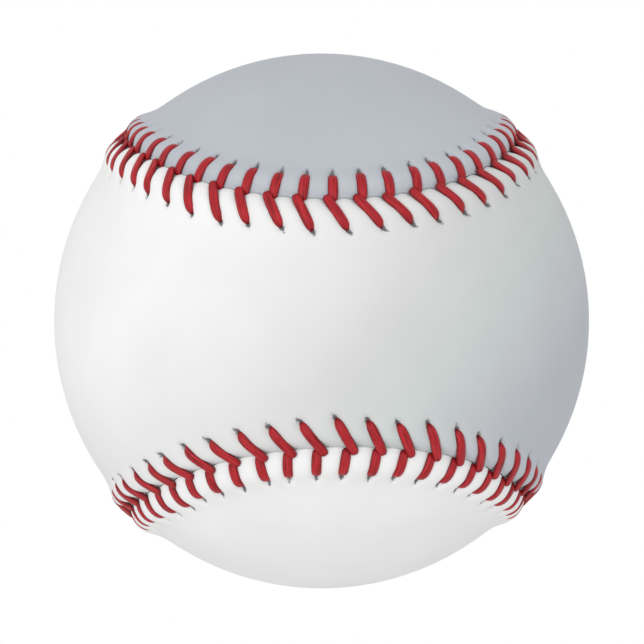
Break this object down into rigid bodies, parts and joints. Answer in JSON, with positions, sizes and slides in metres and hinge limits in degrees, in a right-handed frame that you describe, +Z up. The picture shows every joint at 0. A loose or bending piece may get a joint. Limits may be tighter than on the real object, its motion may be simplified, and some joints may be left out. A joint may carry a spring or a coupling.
{
  "type": "baseball",
  "caption": "Baseball with a cushioned cork centre, yarn windings and a cover of figure-eight leather panels sewn together with red thread over raised seams.",
  "frame": {"origin": "centre of the ball", "axes": "-Y through the waist of the front panel, which faces the camera; +X and -X through the front panel's lobes; +Z up, through the rear panel's upper lobe"},
  "size_m": [0.0738, 0.0738, 0.0738],
  "materials": {
    "cover_leather": "smooth, faint grain, satin",
    "red_thread": "waxed cotton",
    "cork": "matte",
    "black_rubber": "matte",
    "red_rubber": "matte",
    "gray_wool": "matte wool yarn",
    "white_wool": "matte wool yarn",
    "finishing_thread": "fine cotton thread, glued"
  },
  "bodies": {
    "root": {"front_cover_panel": "cover_leather", "rear_cover_panel": "cover_leather", "seam_thread_one": "red_thread", "seam_thread_two": "red_thread", "cork_core": "cork", "lower_rubber_half": "black_rubber", "upper_rubber_half": "black_rubber", "rubber_gasket": "red_rubber", "red_rubber_jacket": "red_rubber", "inner_gray_winding": "gray_wool", "white_winding": "white_wool", "outer_gray_winding": "gray_wool", "finishing_winding": "finishing_thread"}
  },
  "joints": []
}
